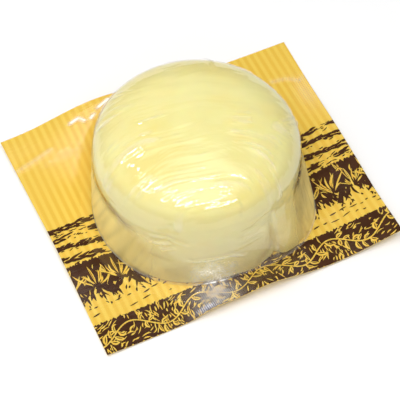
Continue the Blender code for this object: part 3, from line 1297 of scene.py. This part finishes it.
# Short folds on the front wall: degrees and height of both ends, and size.
WALL_FOLDS = (
    (-138.0, 26.8 * MM, -131.0, 28.2 * MM, 0.8 * MM),
    (-137.5, 23.6 * MM, -130.0, 25.0 * MM, 0.8 * MM),
    (-133.0, 21.2 * MM, -127.5, 22.6 * MM, 0.5 * MM),
    (-131.0, 28.2 * MM, -121.0, 25.0 * MM, 0.4 * MM),
    (-135.5, 31.5 * MM, -129.0, 35.5 * MM, 0.25 * MM),
    (-119.0, 15.6 * MM, -98.0, 15.6 * MM, 0.5 * MM),
    (-98.0, 15.6 * MM, -92.0, 13.0 * MM, 0.5 * MM),
    (-70.5, 28.0 * MM, -71.5, 14.0 * MM, 0.9 * MM),
    (-71.5, 14.0 * MM, -74.0, 5.0 * MM, 0.8 * MM),
    (-90.0, 29.0 * MM, -75.0, 32.0 * MM, 0.2 * MM),
    (-92.0, 25.0 * MM, -78.0, 27.2 * MM, 0.16 * MM),
    (-87.0, 22.8 * MM, -73.5, 25.2 * MM, 0.16 * MM),
    (-95.0, 18.5 * MM, -80.0, 20.4 * MM, 0.16 * MM),
)


def wall_creases(turn, height, reach):
    """How far the folds of the front wall stand out."""
    along = turn * ROUND_RADIUS
    total = np.zeros_like(height)
    for start, start_height, end, end_height, size in WALL_FOLDS:
        first = (math.radians(start) * ROUND_RADIUS, start_height)
        last = (math.radians(end) * ROUND_RADIUS, end_height)
        total = np.maximum(total, size * bell(line_distance(along, height, (first, last)), 0.0, reach))
    return total


def hanging_free(angle):
    """1 in the directions where the skirt hangs free of the cheese, 0 where they touch."""
    return by_direction(FREE_STOPS, angle)


def line_distance(x, y, points):
    """Distance in plan from each place to a broken line."""
    nearest = np.full_like(x, 1.0)
    for start, end in zip(points, points[1:]):
        along_x = end[0] - start[0]
        along_y = end[1] - start[1]
        square = along_x ** 2 + along_y ** 2
        share = np.clip(((x - start[0]) * along_x + (y - start[1]) * along_y) / square, 0.0, 1.0)
        gap = np.hypot(x - start[0] - share * along_x, y - start[1] - share * along_y)
        nearest = np.minimum(nearest, gap)
    return nearest


# Creases beside the seal and painted highlight lines at the back left, as broken lines, and blisters:
# middle x and y, reach and height.
CREASES = (
    ((-75.0 * MM, 44.4 * MM), (-56.0 * MM, 48.4 * MM)),
    ((59.0 * MM, 42.2 * MM), (66.0 * MM, 41.2 * MM), (72.0 * MM, 37.4 * MM), (75.5 * MM, 38.5 * MM)),
)
GLARE_LINES = (
    ((-42.4 * MM, 56.0 * MM), (-38.2 * MM, 56.8 * MM), (-35.9 * MM, 54.2 * MM)),
    ((-32.6 * MM, 54.0 * MM), (-30.6 * MM, 55.2 * MM)),
    ((-27.3 * MM, 57.8 * MM), (-20.4 * MM, 60.6 * MM)),
)
BLISTERS = (
    (-18.5 * MM, -55.0 * MM, 7.5 * MM, 0.2 * MM),
    (48.0 * MM, -36.0 * MM, 5.0 * MM, 0.35 * MM),
)

# Where the film is slack at the back left, cloudy over the curd's foot, painted with a silvery reflection in
# front and at its front edge,
# and knurled by the sealing jaws: middle x and y, and reach along x and y.
SLACK = (-31.0 * MM, 59.5 * MM, 9.0 * MM, 4.5 * MM)
FOG = (-15.0 * MM, -48.0 * MM, 9.5 * MM, 10.0 * MM)
GLARE = (-17.5 * MM, -55.5 * MM, 9.0 * MM, 6.5 * MM)
EDGE_GLARE = (-23.5 * MM, -61.0 * MM, 5.5 * MM, 1.6 * MM)
SEALS = ((71.5 * MM, 29.0 * MM, 4.5 * MM, 9.0 * MM), (-50.0 * MM, 42.5 * MM, 9.0 * MM, 2.6 * MM))


# The pitch of the painted silvery reflection's ripples, and the colours of hazy film with its painted
# highlights and of the painted silvery reflection.
RIPPLE_PITCH = 0.9 * MM
MILK_AND_HIGHLIGHT = (1.0, 0.98, 0.90, 1.0)
PAINTED_SILVER_REFLECTION = (0.66, 0.68, 0.80, 1.0)


def patch(x, y, place):
    """A soft oval patch: 1 in its middle."""
    return bell(np.hypot((x - place[0]) / place[2], (y - place[1]) / place[3]), 0.0, 1.0)


def margin_relief(rows, angle):
    """Slack waves by the foot and at the back left, blisters, and the creases beside the seal."""
    x = rows[..., 0]
    y = rows[..., 1]
    from_foot = distance_from(FOOT_CENTRE, x, y) - foot_radius(angle)
    rays = noise_round(angle, 12.0, from_foot, 25 * MM)
    near = smooth_step(0.0, 1.5 * MM, from_foot) * smooth_step(14 * MM, 3 * MM, from_foot)
    relief = 0.3 * MM * near * np.maximum(0.0, rays)
    relief = relief + 0.5 * MM * patch(x, y, SLACK) * cloud(x / 2.2 - y, y + 0.2 * x, 3.4 * MM, 41.0)
    for line in CREASES:
        relief = relief + 0.3 * MM * bell(line_distance(x, y, line), 0.0, CREASE_REACH)
    for middle_x, middle_y, reach, rise in BLISTERS:
        relief = relief + rise * patch(x, y, (middle_x, middle_y, 1.35 * reach, reach))
    on_margin = np.arange(len(rows))[:, None] >= FOOT_ROW
    at_edge = smooth_step(0.0, 0.06, margin_edge_gap(len(rows)))
    return np.maximum(relief, -0.1 * MM) * on_margin * at_edge


def margin_edge_gap(count):
    """How far in each row lies from the sheet's edge, as a share of the margin."""
    gap = np.ones(count)
    gap[FOOT_ROW:] = 1.0 - margin_shares()
    return gap[:, None]


def film_haze_and_highlights(rows, angle, folds, wrinkles):
    """How milky the film is, with painted light: a veil over the cheese, whiter crests of folds and wrinkles
    that are partly painted highlight, a painted sheen line at the foot, a painted highlight line at the
    front, whitened creases, and painted highlight lines at the back left.
    """
    x, y, height = np.moveaxis(rows, -1, 0)
    above = above_sheet(rows)
    low = smooth_step(32 * MM, 22 * MM, height)
    # Whiter on the crests of the folds and wrinkles: partly film whitened by strain, partly painted
    # highlight.
    strained_and_highlight = 0.12 * np.clip(folds / (0.6 * MM), 0.0, 1.0)
    strained_and_highlight = strained_and_highlight + 0.2 * smooth_step(0.36 * MM, 0.7 * MM, wrinkles)
    veil = smooth_step(0.3 * MM, 3 * MM, above) * (0.02 + 0.1 * low * front_part(angle, 44, 26) + strained_and_highlight)
    # Painted sheen: a pale line above the foot.
    foot_sheen = 0.3 * bell(above, *FOOT_SHEEN) * smooth_step(0.35 * MM, 0.9 * MM, above)
    near_front = bell(angle_gap(angle, HIGHLIGHT_LINE_MIDDLE), 0.0, math.radians(9))
    broken = smooth_step(-0.5, 0.2, cloud(x, y, 2.5 * MM, 3.0))
    # Painted highlight: a broken white line at the front of the foot.
    highlight_line = 0.95 * bell(above, *HIGHLIGHT_LINE) * near_front * broken
    # The creases are whitened, and the glare lines at the back left are painted highlights.
    creases_and_glare = np.zeros_like(x)
    for lines, strength in ((CREASES, 0.2), (GLARE_LINES, 0.75)):
        for line in lines:
            crease_and_glare_white = strength * bell(line_distance(x, y, line), 0.0, WHITE_CREASE_REACH)
            creases_and_glare = np.maximum(creases_and_glare, crease_and_glare_white)
    flat = smooth_step(2 * MM, 1 * MM, above)
    return veil + foot_sheen * mix(0.4, 1.0, hanging_free(angle)) + highlight_line + creases_and_glare * flat


def film_looks(rows, folds, wrinkles):
    """Per point: how milky the film is with its painted highlights, how foggy, where it takes the painted
    yellow light and the painted silvery reflection, how knurled, and how strong its strain wrinkles are.
    """
    x, y, height = np.moveaxis(rows, -1, 0)
    above = above_sheet(rows)
    lifted = smooth_step(0.3 * MM, 3 * MM, above)
    flat = smooth_step(2 * MM, 1 * MM, above)
    angle = direction_from(FOOT_CENTRE, x, y)
    # Painted light: a lit yellow is laid where the skirt hangs free before the shaded side, broken into
    # streaks, and weaker behind and on the right.
    free = hanging_free(angle) * smooth_step(29 * MM, 21 * MM, height)
    free = free * smooth_step(0.3 * MM, 4 * MM, above)
    streaks = bell(noise_round(leaning(angle, height), 10.0, height, 40 * MM), 0.0, 0.2)
    behind = smooth_step(0.35, 0.8, -np.cos(angle - FRONT_HEADING))
    clear_side = smooth_step(0.7, 1.0, np.sin(angle - FRONT_HEADING)) * smooth_step(8 * MM, 18 * MM, height)
    frosty = smooth_step(-0.6, 0.5, noise_at(rows / (3.5 * MM)))
    return {
        "haze_and_highlight": film_haze_and_highlights(rows, angle, folds, wrinkles),
        "fog": lifted * patch(x, y, FOG) * smooth_step(20 * MM, 6 * MM, height) * mix(0.4, 1.25, frosty),
        "glow": free * mix(0.92, 0.74, streaks) * mix(1.0, 0.5, behind) * mix(1.0, 0.6, clear_side),
        # Painted reflection: silvery ripples over the front margin and its edge.
        "painted_reflection_ripple": flat * np.maximum(0.7 * patch(x, y, GLARE), 1.4 * patch(x, y, EDGE_GLARE)),
        "seal": flat * sum(patch(x, y, place) for place in SEALS),
        "strain": off_the_back(x, y) * smooth_step(ROUND_WIDEST_AT, ROUND_WIDEST_AT + 10 * MM, height),
    }


def film_normal(nodes, place, knobs):
    """The film's fine relief: crinkles, the dome's strain wrinkles and the seal's knobs."""
    crinkle = nodes.group("Film crinkle", Vector=place, Fineness=1.0)
    broad = nodes.group("Strain wrinkles", Vector=place, Width=1.05 * MM, Number=1.8)
    sharp = nodes.group("Strain wrinkles", Vector=place, Width=0.6 * MM, Number=2.6)
    strain = nodes.plus(broad, nodes.times(sharp, 0.4))
    strain = nodes.times(strain, nodes.times(nodes.attribute("strain"), 1.3))
    relief = nodes.plus(nodes.plus(crinkle, strain), nodes.times(knobs, 2.0))
    return nodes.bump(relief, 1.0, 0.06 * MM)


def film_white(nodes, place, knobs):
    """Where the film is white, with its milkiness and painted highlights, specks, knobs and the painted
    silvery reflection, and its shader there, which gives off painted light.
    """
    # Painted reflection: silvery ripples that whiten the film over the front margin.
    painted_reflection_ripple = nodes.ramp(nodes.bands(place, RIPPLE_PITCH, 1.5), 0.2, 0.8, 0.25, 1.0)
    painted_reflection_ripple = nodes.times(painted_reflection_ripple, nodes.attribute("painted_reflection_ripple"))
    specks = nodes.ramp(nodes.noise(place, 2100.0), 0.38, 0.66, 0.12, 0.7)
    fog = nodes.times(nodes.attribute("fog"), specks)
    fog = nodes.plus(fog, nodes.times(nodes.math("MAXIMUM", knobs, 0.0), 0.5))
    fog = nodes.plus(fog, nodes.times(painted_reflection_ripple, 0.6))
    # Painted light: the whitest lines glow, and the cloudy fog is brightened by a glow of its own.
    bright = nodes.ramp(nodes.attribute("haze_and_highlight"), 0.4, 0.8, 0.0, 0.6)
    shader = nodes.principled(
        Base_Color=nodes.blend(nodes.attribute("painted_reflection_ripple"), MILK_AND_HIGHLIGHT, PAINTED_SILVER_REFLECTION),
        Roughness=0.6, Specular_IOR_Level=0.0, Emission_Color=(1.0, 1.0, 0.97, 1.0),
        Emission_Strength=nodes.plus(nodes.times(nodes.attribute("fog"), 0.22), bright),
    )
    return nodes.plus(nodes.attribute("haze_and_highlight"), fog), shader


def film_material():
    """Clear glossy film, whitened by its milkiness and by painted highlights, with painted light in yellow
    where it hangs before the cheese's shaded side.
    """
    material, nodes = new_material("clear_film")
    place = nodes.place()
    knobs = nodes.times(nodes.group("Seal knurl", Vector=place), nodes.attribute("seal"))
    normal = film_normal(nodes, place, knobs)
    outside = nodes.minus(1.0, nodes.add("ShaderNodeNewGeometry").outputs["Backfacing"])
    mirror = nodes.times(nodes.add("ShaderNodeFresnel", IOR=1.65, Normal=normal).outputs["Fac"], outside)
    clear = nodes.add("ShaderNodeBsdfTransparent", Color=(0.985, 0.985, 0.98, 1.0)).outputs["BSDF"]
    gloss = nodes.principled(Base_Color=(0.96, 0.96, 0.97, 1.0), Metallic=1.0, Roughness=0.05, Normal=normal)
    white_share, white = film_white(nodes, place, knobs)
    milky = nodes.mixed(nodes.times(white_share, outside), nodes.mixed(mirror, clear, gloss), white)
    # Painted light: a lit yellow that brightens the skirt before the cheese's shaded side.
    painted_lit_yellow = nodes.principled(Base_Color=(1.0, 0.80, 0.29, 1.0), Roughness=0.6, Specular_IOR_Level=0.0)
    nodes.show(nodes.mixed(nodes.times(nodes.attribute("glow"), outside), milky, painted_lit_yellow))
    return material


class PACK_OT_clear_film(bpy.types.Operator):
    """Makes the clear film: wrinkled dome, folded skirt and flat margin"""

    bl_idname = "packed_cheese.clear_film"
    bl_label = "Clear Film"

    def execute(self, context):
        film = context.scene.pack_film
        edge_x, edge_y, angle = round_the_edge()
        outer = film_rows(edge_x, edge_y, angle, film.margin_gap + film.thickness)
        inner = film_rows(edge_x, edge_y, angle, film.margin_gap)
        wrinkles = dome_wrinkles(outer, film)
        folds = skirt_folds(outer, angle, film)
        height = wrinkles + folds + margin_relief(outer, angle)
        shown = outer + row_normals(outer) * height[..., None]
        inner[:FOOT_ROW] = (outer - row_normals(outer) * film.thickness)[:FOOT_ROW]
        rows = np.concatenate([shown, inner[::-INNER_STEP]])
        piece, row, column = wrap_rows("clear_film", rows)
        for name, values in film_looks(outer, folds, wrinkles).items():
            stored = piece.data.attributes.new(name, "FLOAT", "POINT")
            table = np.concatenate([values, values[::-INNER_STEP]])
            stored.data.foreach_set("value", table[row, column])
        close_up(piece)
        finish_piece(piece, film_material(), ["sealed_cheese"])
        return {"FINISHED"}


# ------------------------------------------------------------------------ stage


def plain_material(name, colour, roughness):
    """A plain even material for the stage."""
    material, nodes = new_material(name)
    nodes.show(nodes.principled(Base_Color=(*colour, 1.0), Roughness=roughness))
    return material


def look_from(item, tilt, heading, distance, target=(0.0, 0.0, 0.0)):
    """Adds a lamp or camera that looks at its target from a tilt off vertical and a heading."""
    bpy.context.scene.collection.objects.link(item)
    level = math.sin(tilt)
    direction = Vector((level * math.cos(heading), level * math.sin(heading), math.cos(tilt)))
    item.location = Vector(target) + direction * distance
    item.rotation_euler = direction.to_track_quat("Z", "Y").to_euler()


def add_lamp(name, tilt, heading, distance, size, power):
    """An area lamp that looks at the pack. Its tilt and heading are in degrees."""
    data = bpy.data.lights.new(name, "AREA")
    data.shape = "RECTANGLE"
    data.size = size[0]
    data.size_y = size[1]
    data.energy = power
    lamp = bpy.data.objects.new(name, data)
    look_from(lamp, math.radians(tilt), math.radians(heading), distance)
    return lamp


# How far the lamps and the floor reach, in metres, and the camera's sensor, in millimetres.
LAMP_DISTANCE = 0.95
SIDE_DISTANCE = 1.1
FLOOR_SIZE = 6.0
FLOOR_DEPTH = 0.05 * MM
SENSOR_WIDTH = 36.0

# Narrow lamps that only show as glints in the film: name, tilt, heading, size and power.
GLINTS = (
    ("front_glint", 20.5, -128, (0.95, 0.034), 2.25),
    ("left_glint", 30, 140, (0.22, 0.045), 0.75),
    ("right_glint", 16, -67, (0.14, 0.03), 0.3),
)


def studio_world(studio):
    """White surroundings: a shell half way up, a dark ring over it, and bright straight overhead."""
    world = bpy.data.worlds.new("studio")
    world.use_nodes = True
    world.node_tree.nodes.clear()
    nodes = Nodes(world.node_tree)
    direction = nodes.add("ShaderNodeTexCoord").outputs["Generated"]
    parts = nodes.axes(direction)
    low = nodes.ramp(parts["Z"], 0.25, 0.45, studio.horizon, studio.shell)
    gap = nodes.ramp(parts["Z"], 0.66, 0.78, 0.0, -studio.shell)
    high = nodes.ramp(parts["Z"], 0.87, 1.0, 0.0, studio.zenith)
    dim_side = nodes.ramp(parts["X"], 0.0, 0.9, 1.0, 0.5)
    strength = nodes.plus(nodes.times(nodes.plus(low, gap), dim_side), high)
    mirrored = nodes.add("ShaderNodeLightPath").outputs["Is Glossy Ray"]
    strength = nodes.times(strength, nodes.minus(1.0, nodes.times(mirrored, 0.5)))
    light = nodes.add("ShaderNodeBackground", Color=(1.0, 1.0, 1.0, 1.0), Strength=strength)
    nodes.show(light.outputs["Background"], "World")
    return world


class PACK_OT_studio(bpy.types.Operator):
    """Makes the pale floor, the lamps and the camera"""

    bl_idname = "packed_cheese.studio"
    bl_label = "Studio"

    def execute(self, context):
        studio = context.scene.pack_studio
        deselect_all()
        bpy.ops.mesh.primitive_plane_add(size=FLOOR_SIZE, location=(0.0, 0.0, -FLOOR_DEPTH))
        floor = context.active_object
        floor.name = "floor"
        floor.data.materials.append(plain_material("pale_floor", (0.93, 0.93, 0.93), 0.7))
        camera_heading = studio.azimuth - math.pi / 2
        key = add_lamp("key", 21, math.degrees(camera_heading), LAMP_DISTANCE, (0.8, 0.4), studio.key_power)
        key.visible_glossy = False
        side = add_lamp("side", 28, 150, SIDE_DISTANCE, (0.5, 0.4), studio.side_power)
        side.visible_glossy = False
        for name, tilt, heading, size, power in GLINTS:
            glint = add_lamp(name, tilt, heading, LAMP_DISTANCE, size, power)
            glint.visible_diffuse = False
        context.scene.world = studio_world(studio)
        context.scene.view_settings.view_transform = "Standard"
        self.add_camera(context, studio, camera_heading)
        return {"FINISHED"}

    def add_camera(self, context, studio, heading):
        """The camera at the photograph's angle."""
        data = bpy.data.cameras.new("camera")
        data.sensor_width = SENSOR_WIDTH
        data.lens = data.sensor_width / 2 / math.tan(studio.field / 2)
        camera = bpy.data.objects.new("camera", data)
        look_from(camera, math.pi / 2 - studio.elevation, heading, studio.distance, studio.aim)
        context.scene.camera = camera


# ------------------------------------------------------------------------ panel


STEPS = ("backing_sheet", "printed_border", "cheese", "clear_film", "studio")


class PACK_PT_panel(bpy.types.Panel):
    """Lists the operators in the order they are run"""

    bl_idname = "PACK_PT_panel"
    bl_label = "Packed Cheese"
    bl_space_type = "VIEW_3D"
    bl_region_type = "UI"
    bl_category = "Packed Cheese"

    def draw(self, context):
        for step in STEPS:
            self.layout.operator("packed_cheese." + step)


SETTINGS = {
    "pack_sheet": SheetSettings,
    "pack_cheese": CheeseSettings,
    "pack_film": FilmSettings,
    "pack_studio": StudioSettings,
}
CLASSES = (
    *SETTINGS.values(),
    PACK_OT_backing_sheet,
    PACK_OT_printed_border,
    PACK_OT_cheese,
    PACK_OT_clear_film,
    PACK_OT_studio,
    PACK_PT_panel,
)


def register():
    """Registers the classes and hangs the settings on the scene."""
    for item in CLASSES:
        bpy.utils.register_class(item)
    for name, group in SETTINGS.items():
        setattr(bpy.types.Scene, name, PointerProperty(type=group))


def unregister():
    """Takes the settings and the classes away again."""
    for name in SETTINGS:
        delattr(bpy.types.Scene, name)
    for item in reversed(CLASSES):
        bpy.utils.unregister_class(item)


def main():
    """Makes every piece."""
    register()
    for step in STEPS:
        getattr(bpy.ops.packed_cheese, step)()


if __name__ == "__main__":
    main()
